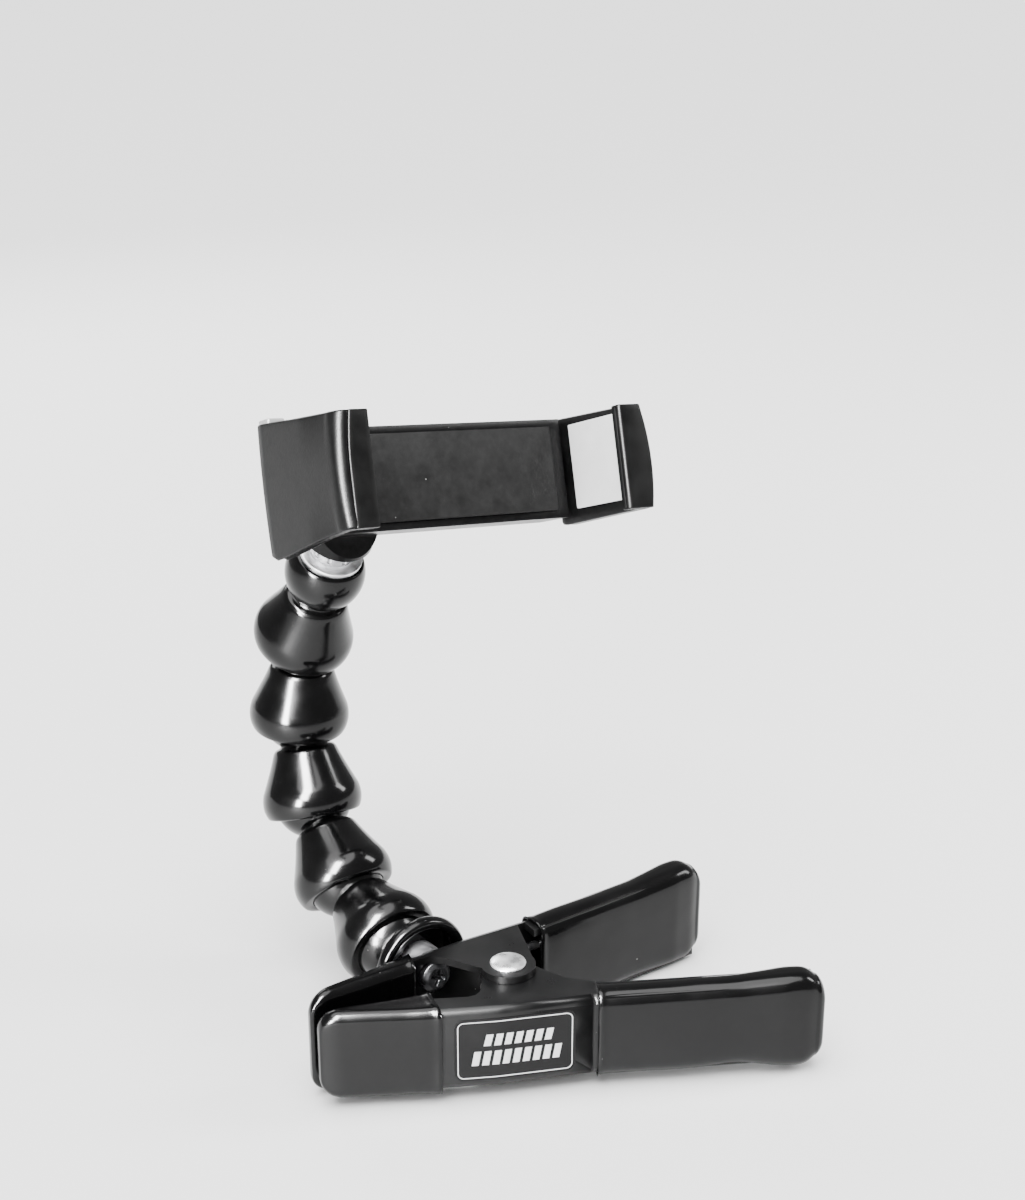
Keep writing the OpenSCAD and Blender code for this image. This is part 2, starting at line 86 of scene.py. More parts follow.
def mix_color(tree, factor, a, b):
    """Mix of two colours; each is a tuple or an output socket."""
    color_a, color_b, result = 6, 7, 2  # the RGBA sockets of the Mix node
    node = tree.nodes.new("ShaderNodeMix")
    node.data_type = "RGBA"
    tree.links.new(factor, node.inputs["Factor"])
    for socket, value in ((color_a, a), (color_b, b)):
        if isinstance(value, tuple):
            node.inputs[socket].default_value = (*value, 1)
        else:
            tree.links.new(value, node.inputs[socket])
    return node.outputs[result]


def material(name, color, rough, metallic=0.0, coat=0.0, coat_rough=0.05, spec=0.5, sheen=0.0,
             grain=(), rough_var=None, tint=None, specks=None):
    """Principled surface with procedural detail.

    grain: bumps, each (noise scale, depth in mm, strength)
    rough_var: (noise scale, lowest roughness, highest roughness)
    tint: (noise scale, second colour)
    specks: sparse dust, (cell scale, size, colour)
    """
    m = bpy.data.materials.new(name)
    m.use_nodes = True
    tree = m.node_tree
    tree.nodes.clear()
    out = tree.nodes.new("ShaderNodeOutputMaterial")
    shader = tree.nodes.new("ShaderNodeBsdfPrincipled")
    tree.links.new(shader.outputs[0], out.inputs[0])
    for socket, value in (("Base Color", (*color, 1)), ("Roughness", rough), ("Metallic", metallic),
                          ("Coat Weight", coat), ("Coat Roughness", coat_rough),
                          ("Specular IOR Level", spec), ("Sheen Weight", sheen)):
        shader.inputs[socket].default_value = value
    coords = tree.nodes.new("ShaderNodeTexCoord").outputs["Object"]

    painted = None
    if tint:
        share = remap(tree, noise_value(tree, coords, tint[0], 4), 0.35, 0.7, 0, 1)
        painted = mix_color(tree, share, color, tint[1])
    if specks:
        scale, size, dust = specks
        cells = tree.nodes.new("ShaderNodeTexVoronoi")
        cells.inputs["Scale"].default_value = scale
        tree.links.new(coords, cells.inputs["Vector"])
        both = tree.nodes.new("ShaderNodeMath")
        both.operation = "MULTIPLY"
        tree.links.new(remap(tree, cells.outputs["Distance"], size, size * 0.6, 0, 1), both.inputs[0])
        patches = noise_value(tree, coords, scale * 0.35, 2)
        tree.links.new(remap(tree, patches, 0.56, 0.6, 0, 0.7), both.inputs[1])
        painted = mix_color(tree, both.outputs[0], painted or color, dust)
    if painted:
        tree.links.new(painted, shader.inputs["Base Color"])
    if rough_var:
        scale, low, high = rough_var
        value = remap(tree, noise_value(tree, coords, scale, 5), 0.3, 0.7, low, high)
        tree.links.new(value, shader.inputs["Roughness"])
    normal = None
    for scale, depth, strength in grain:
        bump = tree.nodes.new("ShaderNodeBump")
        bump.inputs["Distance"].default_value = depth / 1000
        bump.inputs["Strength"].default_value = strength
        tree.links.new(noise_value(tree, coords, scale, 4), bump.inputs["Height"])
        if normal:
            tree.links.new(normal, bump.inputs["Normal"])
        normal = bump.outputs[0]
    if normal:
        tree.links.new(normal, shader.inputs["Normal"])
    return m


DUST = (0.45, 0.45, 0.44)
SURFACES = {
    "steel_black": dict(
        color=(0.0022, 0.0022, 0.0024), rough=0.3, spec=0.16, coat=0.14, coat_rough=0.18,
        grain=[(230, 0.05, 0.2), (1500, 0.015, 0.25)], rough_var=(150, 0.26, 0.4),
        specks=(420, 0.05, DUST), tint=(50, (0.005, 0.005, 0.0053))),
    "vinyl": dict(
        color=(0.001, 0.001, 0.0011), rough=0.2, spec=0.14, coat=0.12, coat_rough=0.09,
        grain=[(45, 0.5, 0.14), (170, 0.1, 0.1), (1500, 0.012, 0.12)], rough_var=(80, 0.14, 0.27),
        specks=(330, 0.045, DUST), tint=(45, (0.002, 0.002, 0.0022))),
    "rivet_steel": dict(
        color=(0.86, 0.86, 0.87), rough=0.3, metallic=1.0,
        grain=[(700, 0.05, 0.3), (2600, 0.02, 0.3)], rough_var=(500, 0.22, 0.42),
        tint=(380, (0.7, 0.7, 0.71))),
    "spring_steel": dict(
        color=(0.06, 0.06, 0.063), rough=0.3, metallic=0.8,
        grain=[(900, 0.03, 0.4)], rough_var=(400, 0.22, 0.48), tint=(250, (0.1, 0.1, 0.098))),
    "label": dict(
        color=(0.002, 0.002, 0.0022), rough=0.34, spec=0.12, coat=0.05, coat_rough=0.25,
        grain=[(1200, 0.01, 0.2)], rough_var=(150, 0.3, 0.42), specks=(500, 0.04, DUST)),
    "keyline": dict(
        color=(0.88, 0.88, 0.88), rough=0.4,
        grain=[(1600, 0.01, 0.3)], rough_var=(300, 0.32, 0.5), tint=(800, (0.8, 0.8, 0.8))),
    "link_plastic": dict(
        color=(0.001, 0.001, 0.0011), rough=0.18, spec=0.15, coat=0.13, coat_rough=0.11,
        grain=[(120, 0.06, 0.2), (1300, 0.008, 0.15)], rough_var=(160, 0.12, 0.24),
        specks=(380, 0.05, DUST), tint=(70, (0.002, 0.002, 0.0022))),
    "zinc": dict(
        color=(0.42, 0.42, 0.43), rough=0.34, metallic=1.0,
        grain=[(1500, 0.02, 0.3)], rough_var=(350, 0.26, 0.42), tint=(300, (0.36, 0.36, 0.37))),
    "bright_steel": dict(
        color=(0.92, 0.92, 0.93), rough=0.3, metallic=1.0,
        grain=[(1900, 0.02, 0.5)], rough_var=(420, 0.26, 0.42), tint=(500, (0.8, 0.8, 0.81))),
    "screw_black": dict(
        color=(0.03, 0.03, 0.032), rough=0.28, metallic=0.7,
        grain=[(1100, 0.03, 0.3)], rough_var=(500, 0.2, 0.42)),
    "holder_plastic": dict(
        color=(0.0014, 0.0014, 0.0015), rough=0.33, spec=0.09, coat=0.03, coat_rough=0.2,
        grain=[(2600, 0.035, 0.55), (420, 0.03, 0.1)], rough_var=(240, 0.29, 0.37),
        specks=(300, 0.045, DUST), tint=(900, (0.0036, 0.0036, 0.0038))),
    "pad_light": dict(
        color=(0.88, 0.88, 0.88), rough=0.62, sheen=0.1,
        grain=[(2400, 0.04, 0.5), (500, 0.06, 0.2)], rough_var=(300, 0.55, 0.75),
        tint=(160, (0.81, 0.81, 0.81))),
    "pad_dark": dict(
        color=(0.003, 0.003, 0.003), rough=0.6, spec=0.1,
        grain=[(2000, 0.04, 0.5)], rough_var=(260, 0.5, 0.7),
        specks=(300, 0.05, DUST), tint=(700, (0.0075, 0.0075, 0.0075))),
    "lip_rubber": dict(
        color=(0.0015, 0.0015, 0.0015), rough=0.32, spec=0.1,
        grain=[(1700, 0.02, 0.3), (300, 0.05, 0.15)], rough_var=(220, 0.32, 0.46),
        specks=(360, 0.05, DUST), tint=(150, (0.0025, 0.0025, 0.0025))),
    "tab_light": dict(
        color=(0.4, 0.4, 0.4), rough=0.45,
        grain=[(1800, 0.02, 0.3)], rough_var=(300, 0.4, 0.55), tint=(300, (0.46, 0.46, 0.46))),
}
MATERIALS = {name: material(name, **values) for name, values in SURFACES.items()}


# ---------- mesh helpers ----------
def add_object(name, mesh):
    obj = bpy.data.objects.new(name, mesh)
    bpy.context.scene.collection.objects.link(obj)
    return obj


def finish_mesh(name, bm, surface, smooth=40, bevel=0, world=PIV):
    """Object from bm, moved by world; edges sharper than smooth degrees stay sharp.

    A mirroring world leaves the faces pointing inward, as on the two front dips.
    """
    bmesh.ops.recalc_face_normals(bm, faces=bm.faces)
    mesh = bpy.data.meshes.new(name)
    bm.to_mesh(mesh)
    bm.free()
    mesh.transform(world)
    obj = add_object(name, mesh)
    mesh.materials.append(MATERIALS[surface])
    mesh.polygons.foreach_set("use_smooth", [True] * len(mesh.polygons))
    if bevel:
        edge = obj.modifiers.new("round", "BEVEL")
        edge.width = bevel / 1000
        edge.segments = 3
        edge.limit_method = "ANGLE"
        edge.angle_limit = rad(32)
        edge.harden_normals = False
        obj.modifiers.new("even", "WEIGHTED_NORMAL").keep_sharp = True
    else:
        mesh.set_sharp_from_angle(angle=rad(smooth))
    return obj


def place(obj, body, slot_name, *nodes):
    """Ride on body (None for a blended piece) and stand for the CAD nodes, which are hidden; slot_name is not
    used.
    """
    if body:
        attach(obj, body)
    if nodes:
        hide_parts(*nodes)
    return obj


def rings_mesh(rings, closed_loop=False, capped=False):
    """Skin over closed rings of equal length."""
    bm = bmesh.new()
    verts = [[bm.verts.new(p) for p in ring] for ring in rings]
    count = len(rings)
    for i in range(count if closed_loop else count - 1):
        a, b = verts[i], verts[(i + 1) % count]
        for j in range(len(a)):
            k = (j + 1) % len(a)
            bm.faces.new((a[j], a[k], b[k], b[j]))
    if capped:
        bm.faces.new(list(reversed(verts[0])))
        bm.faces.new(verts[-1])
    return bm


def lathe(name, profile, surface, axis, segments=96, smooth=40):
    """Closed profile of (r, z) turned about the z axis of the frame axis."""
    profile = [p for i, p in enumerate(profile) if i == 0 or math.dist(p, profile[i - 1]) > 1e-4]
    turns = np.linspace(0, 2 * math.pi, segments, endpoint=False)
    rings = [[(r * math.cos(a), r * math.sin(a), z) for a in turns] for r, z in profile]
    return finish_mesh(name, rings_mesh(rings, closed_loop=True), surface, smooth, world=PIV @ axis)


def arc(r, z0, start, stop, count):
    """Points (r, z) on an arc about (0, z0); angles in degrees from the +z axis."""
    return [(r * math.sin(rad(t)), z0 + r * math.cos(rad(t))) for t in np.linspace(start, stop, count)]


def rounded_rect(x0, x1, y0, y1, r, per_corner, per_side):
    """Outline of a rectangle with rounded corners, counterclockwise from (x1, y1 - r)."""
    points = []
    corners = ((x1 - r, y1 - r, 0), (x0 + r, y1 - r, 90), (x0 + r, y0 + r, 180), (x1 - r, y0 + r, 270))
    side_ends = ((x0 + r, y1), (x0, y0 + r), (x1 - r, y0), (x1, y1 - r))
    for (cx, cy, first), (ex, ey) in zip(corners, side_ends):
        for j in range(per_corner):
            a = rad(first + 90 / (per_corner - 1) * j)
            points.append((cx + r * math.cos(a), cy + r * math.sin(a)))
        sx, sy = points[-1]
        for j in range(1, per_side):
            points.append((sx + (ex - sx) * j / per_side, sy + (ey - sy) * j / per_side))
    return points


def section(cv, cz, hv, hz, r, per_corner=8, on_flats=(3, 9)):
    """Rounded rectangle in (v, z) about (cv, cz), half sizes hv and hz, with extra
    points along its level and its upright sides."""
    points = []
    for i, (sv, sz, first) in enumerate(((1, 1, 0), (-1, 1, 90), (-1, -1, 180), (1, -1, 270))):
        for j in range(per_corner):
            a = rad(first + 90 * j / (per_corner - 1))
            points.append((cv + sv * (hv - r) + r * math.cos(a), cz + sz * (hz - r) + r * math.sin(a)))
        extra = on_flats[i % 2]
        v, z = points[-1]
        end_v, end_z = (2 * cv - v, z) if i % 2 == 0 else (v, 2 * cz - z)
        points += [(v + (end_v - v) * j / (extra + 1), z + (end_z - z) * j / (extra + 1))
                   for j in range(1, extra + 1)]
    return points


def waves(p, scale, seed):
    """Slow noise between about -1 and 1."""
    return noise.noise(Vector((p[0] * scale + seed, p[1] * scale - seed, p[2] * scale + 2 * seed)))


def bell(x, width):
    return math.exp(-(x / width) ** 2)


def circle_drop(q):
    """1 at q = 0 and 0 at q = 1, along a quarter circle."""
    return math.sqrt(max(0.0, 1 - q * q))


# ---------- clamp: vinyl dips ----------
SHEET = 1.5  # steel thickness
VINYL = 1.0  # skin thickness
CHANNEL = 5.3  # depth of a handle's channel
WEB_ANGLE, HANDLE_ANGLE = 9.7, 14.5  # degrees from x
BEND_X, BEND_Y = -7.0, 12.3  # where the web turns outward, on its outer face
HANDLE_X, HANDLE_Y = 12.0, 15.55  # where the front handle begins, as if unmirrored
TIP_X, TIP_Y = -17.5, 9.68  # the web's front end
REAR_Z = (1.0, 21.8)  # lowest and highest point of the rear half's flanges
FRONT_Z = (2.6, 20.2)


def dip(name, rings, node, body, mirror):
    """Vinyl skin over rings; the front half's pieces are mirrored."""
    world = PIV @ (MIRROR_Y if mirror else HERE)
    obj = finish_mesh(name, rings_mesh(rings, capped=True), "vinyl", 50, world=world)
    return place(obj, body, "vinyl", node)


def grip(name, node, body, bend_x, far, mouth, zs, flare_low, seed, mirror=False):
    """Dipped grip on a handle: rolled mouth, waist, wider round end, uneven skin.

    u runs along the handle from its bend, v across it and z up. far is the steel's
    end in x, mouth is the open end in u, and flare_low widens the low edge at the end.
    """
    flare_high, end_r, plan_r = 0.8, 5.2, 4.6
    steel = (far - bend_x) / math.cos(rad(HANDLE_ANGLE))
    end = steel + 2.0
    bend_y = BEND_Y + (bend_x - BEND_X) * math.tan(rad(WEB_ANGLE))
    lay = Matrix.Translation((bend_x, bend_y, 0)) @ rot_z(HANDLE_ANGLE)
    cv, cz = -CHANNEL / 2, sum(zs) / 2
    hv, hz = CHANNEL / 2 + VINYL, (zs[1] - zs[0]) / 2 + VINYL

    def inner(u, gap):
        return [(u, v, z) for v, z in section(cv, cz, CHANNEL / 2 + gap, (zs[1] - zs[0]) / 2 + gap, 0.6)]

    def rim(u, inset, r):
        return [(u, v, z) for v, z in section(cv, cz, hv - inset, hz - inset, r)]

    rings = [inner(steel - 0.4, 0.02)]
    rings += [inner(u, 0.02) for u in np.linspace(steel - 2, mouth + 0.3, 8)]
    rings += [inner(mouth + 0.06, 0.12), rim(mouth, 0.55, 1.6), rim(mouth + 0.05, 0.2, 2.1)]
    rings = [[lay @ Vector(p) for p in ring] for ring in rings]

    stations = [mouth + d for d in (0.25, 0.5, 0.75, 1.0, 1.4)]
    stations += list(np.linspace(mouth + 2, end - end_r, 50))
    stations += [end - end_r + end_r * math.sin(t) for t in np.linspace(0.1, math.pi / 2 - 0.03, 16)]
    for u in stations:
        swell = 0.5 * max(0, 1 - abs(u - (end - 8)) / 11) ** 1.3
        flare = max(0, min(1, (u - (end - 17)) / 10))
        low, high = flare_low * flare, flare_high * flare
        taper = 1.0 if u <= end - plan_r else circle_drop((u - (end - plan_r)) / plan_r) ** 0.75
        side = end_r * (1 - circle_drop(max(0.0, u - (end - end_r)) / end_r))
        waist = 0.45 * bell(u - 0.62 * end, 7)
        half_v = hv + swell - (hv + swell) * (1 - taper) * 0.5
        half_z = hz + (high + low) / 2 - side * 0.86 - waist / 2
        outline = section(cv, cz + (high - low) / 2 + waist / 2, half_v, half_z, min(3.3, half_v - 0.03))
        ring = []
        for v, z in outline:
            p, dz = Vector((u, v, z)), z - cz
            away = Vector((0, (v - cv) / hv, dz / hz)).normalized()
            swing = 0.2 * waves(p, 0.07, seed) + 0.05 * waves(p, 0.2, seed + 3)
            swing -= 0.26 * abs(dz / hz) ** 3 * (1 if abs(dz) < hz - 1.2 else 0.8)
            swing -= 0.2 * bell(u - (steel + 0.2), 1.3) if u < end - 1.5 else 0
            swing += 0.16 * bell(u - mouth - 0.7, 0.5)
            ring.append(lay @ (p + away * min(swing - 0.1, 0.06)))
        rings.append(ring)
    return dip(name, rings, node, body, mirror)


grip("grip_rear_dip", "rear_grip", "clamp_rear", bend_x=8.6, far=50.2, mouth=0.9, zs=REAR_Z,
     flare_low=0.0, seed=1.7)
grip("grip_front_dip", "front_grip", "clamp_front", bend_x=HANDLE_X, far=54.6, mouth=0.7, zs=FRONT_Z,
     flare_low=0.8, seed=6.3, mirror=True)


def tip_cap(name, node, body, zs, inside, lip, tip_l, seed, mirror=False):
    """Closed dip over a jaw end, lofted along x from its seam to the tip.

    inside is the cavity's inner wall in y at the tip and at the seam, lip is the
    outer skin's inner wall at the seam, and tip_l is the length of the round end.
    """
    slope, tip_x = 0.3065, -35.7
    cz, half = sum(zs) / 2, (zs[1] - zs[0]) / 2 + VINYL

    def outer_y(x):
        return TIP_Y + VINYL + (x - TIP_X) * slope

    def inner_y(x):  # from 0.17 at x = -40.3 to lip at the seam
        return 0.17 + (x + 40.3) * (lip - 0.17) / 22.8

    def cavity(x, gap, r):  # its inner wall begins at x = -37.9
        y_out = TIP_Y + (x - TIP_X) * slope + gap
        y_in = inside[0] + (x + 37.9) * (inside[1] - inside[0]) / 20.4 - gap
        return ring_at(x, y_out, y_in, VINYL - gap, r)

    def ring_at(x, y_out, y_in, inset, r):
        width = (y_out - y_in) / 2
        outline = section((y_out + y_in) / 2, cz, width, half - inset, min(r, width - 0.02))
        return [Vector((x, v, z)) for v, z in outline]

    rings = [cavity(x, 0.02, 0.6) for x in np.linspace(-37.0, -18.4, 7)]
    rings.append([Vector((-17.62, p.y, p.z)) for p in cavity(-17.6, 0.1, 0.7)])
    for x, inset, r in ((TIP_X, 0.5, 1.3), (TIP_X - 0.06, 0.15, 1.7)):
        rings.append(ring_at(x, outer_y(TIP_X) - inset, inner_y(TIP_X) + inset, inset, r))
    xs = [-17.7, -17.95, -18.2, -18.45, -18.8] + list(np.linspace(-19.4, tip_x, 26))
    xs += [tip_x - tip_l * math.sin(t) for t in np.linspace(0.1, math.pi / 2 - 0.03, 16)]
    for x in xs:
        taper = 1.0 if x > tip_x else circle_drop((tip_x - x) / tip_l)
        y_out, y_in = outer_y(x), inner_y(x)
        mid = y_in + (y_out - y_in) * 0.5
        width = (y_out - y_in) / 2 * (0.42 + 0.58 * taper)
        outline = section(mid, cz, width, half - (1 - taper) * 4.4, min(2.3, width - 0.02))
        ring = []
        for v, z in outline:
            p = Vector((x, v, z))
            away = Vector((0, (v - (y_out + y_in) / 2) / 3, (z - cz) / 10)).normalized()
            swing = 0.16 * waves(p, 0.08, seed) + 0.05 * waves(p, 0.22, seed) - 0.1
            swing -= 0.2 * abs((z - cz) / 11.5) ** 3
            swing += 0.2 * bell(x + 18.2, 0.5)
            ring.append(p + away * min(swing, 0.08))
        rings.append(ring)
    return dip(name, rings, node, body, mirror)


tip_cap("tip_rear_dip", "rear_jaw_cap", "clamp_rear", REAR_Z, inside=(1.7, 7.4), lip=4.9, tip_l=4.6,
        seed=2.2)
tip_cap("tip_front_dip", "front_jaw_cap", "clamp_front", FRONT_Z, inside=(1.5, 4.3), lip=1.7, tip_l=4.0,
        seed=8.8, mirror=True)

# ---------- clamp: rivet and torsion spring ----------
RIVET = [(0.0001, 0.3), (2.6, 0.25), (3.3, 0.28), (3.55, 0.6), (3.58, 0.98), (2.5, 1.0), (2.5, 21.8),
         (3.5, 21.81), (3.58, 22.0), (3.5, 22.16), (3.2, 22.34), (2.5, 22.52), (1.6, 22.64),
         (0.8, 22.68), (0.0001, 22.69)]
place(lathe("rivet", RIVET, "rivet_steel", HERE, 72, 30), "clamp_rear", "rivet_steel", "pivot_rivet")


def wire(name, path, r, body, node, segments=14, world=HERE):
    """Round wire along a path of points."""
    points = [Vector(p) for p in path]
    around = np.linspace(0, 2 * math.pi, segments, endpoint=False)
    rings = []
    for i, p in enumerate(points):
        t = (points[min(i + 1, len(points) - 1)] - points[max(i - 1, 0)]).normalized()
        reference = Vector((0, 0, 1)) if abs(t.z) < 0.9 else Vector((1, 0, 0))
        a = reference.cross(t).normalized()
        b = t.cross(a)
        rings.append([p + r * (math.cos(q) * a + math.sin(q) * b) for q in around])
    obj = finish_mesh(name, rings_mesh(rings, capped=True), "spring_steel", 50, world=PIV @ world)
    return place(obj, body, "spring_steel", node)


WIRE_R, COIL_R, PITCH = 0.9, 4.6, 1.94
LEG_X, KNEE_X = 25.0, 7.5
leg_y = HANDLE_Y + (LEG_X - HANDLE_X) * math.tan(rad(HANDLE_ANGLE)) - SHEET / math.cos(rad(HANDLE_ANGLE))
knee_y = BEND_Y + (KNEE_X - BEND_X) * math.tan(rad(WEB_ANGLE)) - SHEET / math.cos(rad(WEB_ANGLE))
LEG_END = np.array([LEG_X, leg_y - WIRE_R - 0.35])
KNEE = np.array([KNEE_X, knee_y - WIRE_R - 0.55])
LEG_ANGLE = math.degrees(math.atan2(KNEE[1], KNEE[0]) + math.acos(COIL_R / math.hypot(*KNEE)))
SWEEP = 360 - 2 * LEG_ANGLE + 5 * 360
COIL_TOP = 11.4 + PITCH * SWEEP / 720
COIL_LOW = COIL_TOP - PITCH * SWEEP / 360
COIL_STEPS = 320

leaves_coil = np.array([COIL_R * math.cos(rad(LEG_ANGLE)), COIL_R * math.sin(rad(LEG_ANGLE))])
out_dir = (LEG_END - KNEE) / np.linalg.norm(LEG_END - KNEE)
in_dir = (KNEE - leaves_coil) / np.linalg.norm(KNEE - leaves_coil)
leg = [LEG_END]
for f in np.linspace(0, 1, 7):  # the knee is a rounded bend
    a, b = KNEE + 1.5 * out_dir, KNEE - 1.5 * in_dir
    leg.append((1 - f) ** 2 * a + 2 * f * (1 - f) * KNEE + f * f * b)
leg += [KNEE + (leaves_coil - KNEE) * f for f in (0.4, 0.7, 0.9)]
coil = []
for i in range(COIL_STEPS + 1):
    turn = SWEEP * i / COIL_STEPS
    a = rad(LEG_ANGLE + turn)
    coil.append((COIL_R * math.cos(a), COIL_R * math.sin(a), COIL_TOP - PITCH * turn / 360))
spring_path = [(x, y, COIL_TOP) for x, y in leg] + coil + [(x, -y, COIL_LOW) for x, y in reversed(leg)]
torsion = wire("torsion_wire", spring_path, WIRE_R, None, "torsion_spring")
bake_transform(torsion)

# ---------- arm ----------
LINK_PITCH, BALL_R = 19.0, 8.4
BALL_CUT = 4.6  # the ball is cut off flat this far past its centre
BORE_R = 3.6
SOCKET_R, SOCKET_RIM = 8.48, -3.1  # hollow sphere's radius, its mouth's z from the ball's centre
# direction of each link: angle about z and height above the floor plane, in degrees
FRONT_SLOPE = (BEND_Y - TIP_Y) / (BEND_X - TIP_X)  # of the web's front part
DIRECTIONS = [(90 + math.degrees(math.atan(FRONT_SLOPE)), 0), (102, 17), (100, 42.5), (92, 68),
              (-37, 84.7), (-73, 60.5)]
SEAT_X, SEAT_Z = -12.9, 16.8
SEAT = Vector((SEAT_X, TIP_Y + (SEAT_X - TIP_X) * FRONT_SLOPE, SEAT_Z))
BASE_L = 16  # from the seat on the web to the first ball's centre


def direction(i):
    a, e = (rad(v) for v in DIRECTIONS[i])
    return Vector((math.cos(e) * math.cos(a), math.cos(e) * math.sin(a), math.sin(e)))


def link_frame(i, origin):
    turn, rise = DIRECTIONS[i]
    return Matrix.Translation(origin) @ rot_z(turn) @ Matrix.Rotation(rad(90 - rise), 4, "Y")


BALLS = [SEAT + BASE_L * direction(0)]
for i in range(1, 6):
    BALLS.append(BALLS[-1] + LINK_PITCH * direction(i))


def ball_profile(centre):
    """From the bore at the ball's flat end, over the ball, to its neck."""
    flat = centre + BALL_CUT
    points = [(BORE_R, flat - 1.3), (BORE_R + 0.25, flat - 0.9), (BORE_R + 1.35, flat - 0.12),
              (BORE_R + 1.6, flat)]
    edge = math.sqrt(BALL_R * BALL_R - BALL_CUT * BALL_CUT)
    points += [(edge - 0.45, flat), (edge - 0.16, flat - 0.08)]
    first = math.degrees(math.acos(BALL_CUT / BALL_R)) + 2.2
    last = 180 - math.degrees(math.asin(5.15 / BALL_R)) - 1
    points += arc(BALL_R, centre, first, last, 26)
    return points + [(5.15, centre - 6.72), (5.17, centre - 6.84)]


def skirt_profile(centre, rim_z, rim_r, belly_r, belly_z):
    """From the neck down: shoulder, flaring cone, rounded belly and socket rim."""
    points = [(r, centre - dz) for r, dz in
              ((5.3, 6.98), (5.6, 7.18), (6.1, 7.34), (6.5, 7.64), (6.8, 8.05), (7.0, 8.5))]
    cone_top, cone_low = centre - 8.6, belly_z + 3.4
    for t in np.linspace(0.12, 1, 8):
        points.append((7.06 + (belly_r - 0.62 - 7.06) * t ** 1.1, cone_top + (cone_low - cone_top) * t))
    a, b, c = (np.array(p) for p in (points[-1], (belly_r + 0.34, belly_z + 0.5), (rim_r + 0.5, rim_z + 0.35)))
    for t in np.linspace(0.08, 1, 13):
        q = (1 - t) ** 2 * a + 2 * t * (1 - t) * b + t * t * c
        points.append((float(q[0]), float(q[1])))
    return points + [(rim_r + 0.3, rim_z + 0.1), (rim_r + 0.05, rim_z)]


mouth_r = math.sqrt(SOCKET_R * SOCKET_R - SOCKET_RIM * SOCKET_RIM)
LINK = ball_profile(LINK_PITCH) + skirt_profile(LINK_PITCH, SOCKET_RIM, 9.55, 10.95, -0.9)
LINK += [(mouth_r + 0.25, SOCKET_RIM), (mouth_r + 0.05, SOCKET_RIM + 0.1)]
LINK += arc(SOCKET_R, 0, math.degrees(math.acos(SOCKET_RIM / SOCKET_R)) - 1.5,
            math.degrees(math.asin(BORE_R / SOCKET_R)), 20)
LINK += [(BORE_R, LINK_PITCH - 6)]
for i in range(1, 6):
    link = lathe(f"arm_link_{i}", LINK, "link_plastic", link_frame(i, BALLS[i - 1]))
    place(link, f"link_{i}", "link_plastic", f"link_{i}")

BASE = ball_profile(BASE_L) + [
    # shoulder and flange
    (5.3, 9.02), (5.6, 8.82), (6.1, 8.66), (6.55, 8.3), (6.95, 7.8), (8.2, 6.3), (9.3, 4.9),
    (9.95, 4.1), (10.3, 3.6), (10.45, 3.1), (10.4, 2.5), (10.2, 1.95), (9.95, 1.55), (9.6, 1.35),
    # hollow underside and screw hole
    (8.75, 1.35), (8.45, 1.55), (8.4, 1.9), (8.4, 4.2), (8.2, 4.4), (2.05, 4.4), (2.05, 11.9), (3.6, 12.0)]
fitting = lathe("arm_fitting", BASE, "link_plastic", link_frame(0, SEAT))
place(fitting, "clamp_rear", "link_plastic", "arm_base")

WASHER = [(3.1, BALL_CUT + 0.08), (3.1, BALL_CUT + 0.9), (3.2, BALL_CUT + 1.0), (6.4, BALL_CUT + 1.0),
          (6.56, BALL_CUT + 0.92), (6.6, BALL_CUT + 0.8), (6.6, BALL_CUT + 0.18), (6.5, BALL_CUT + 0.03),
          (3.2, BALL_CUT + 0.02)]
washer = lathe("washer_bright", WASHER, "bright_steel", link_frame(5, BALLS[5]))
place(washer, "link_5", "bright_steel", "end_washer")

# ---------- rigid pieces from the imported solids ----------
# the holder's frame: x across the jaws, y from the lips to the back, z up
HOLDER = (Matrix.Translation((3.11, 29.21, 115.46)) @ rot_z(16.2)
          @ Matrix.Rotation(rad(-21.05), 4, "X") @ Matrix.Rotation(rad(7.5), 4, "Y"))


def cut_by_boxes(bm, boxes):
    """bm with boxes, (low, high) corners in the holder frame, taken off."""
    mesh = bpy.data.meshes.new("uncut")
    bm.to_mesh(mesh)
    bm.free()
    body = add_object("uncut", mesh)
    cutters = []
    for low, high in boxes:
        box = bmesh.new()
        bmesh.ops.create_cube(box, size=1)
        box_mesh = bpy.data.meshes.new("cut")
        box.to_mesh(box_mesh)
        box.free()
        centre = [(a + b) / 2 for a, b in zip(low, high)]
        size = [b - a for a, b in zip(low, high)]
        box_mesh.transform(PIV @ HOLDER @ Matrix.Translation(centre) @ Matrix.Diagonal((*size, 1)))
        cutter = add_object("cut", box_mesh)
        difference = body.modifiers.new("cut", "BOOLEAN")
        difference.operation = "DIFFERENCE"
        difference.solver = "EXACT"
        difference.object = cutter
        cutters.append(cutter)
    graph = bpy.context.evaluated_depsgraph_get()
    result = bmesh.new()
    result.from_mesh(bpy.data.meshes.new_from_object(body.evaluated_get(graph)))
    for obj in cutters + [body]:
        bpy.data.objects.remove(obj)
    bmesh.ops.remove_doubles(result, verts=result.verts, dist=2e-6)
    return result


